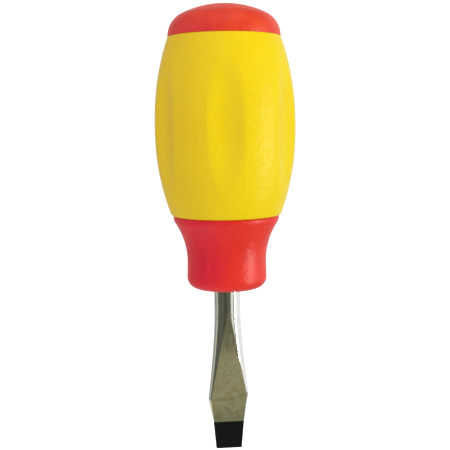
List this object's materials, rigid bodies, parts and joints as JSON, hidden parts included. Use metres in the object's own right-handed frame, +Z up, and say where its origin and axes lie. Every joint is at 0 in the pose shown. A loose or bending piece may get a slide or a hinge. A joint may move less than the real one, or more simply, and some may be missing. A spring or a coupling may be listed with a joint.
{
  "type": "stubby slotted screwdriver",
  "caption": "Short fixed-blade screwdriver with a flared slotted tip, a round shank, a flared hard collar, a fluted soft barrel grip and a domed end cap.",
  "frame": {"origin": "middle of the blade's tip, on its end face", "axes": "+Z runs up the blade's axis into the handle; X lies along the width of the tip; -Y is the front"},
  "size_m": [0.0312, 0.0308, 0.1009],
  "materials": {
    "blade_steel": "plated chrome-vanadium steel, ground faces, black oxide on the ground tip",
    "red_plastic": "satin moulded hard plastic",
    "yellow_grip": "fine matt texture, soft moulded grip"
  },
  "bodies": {
    "root": {"blade": "blade_steel", "core": "red_plastic", "grip": "yellow_grip", "end_cap": "red_plastic"}
  },
  "joints": []
}
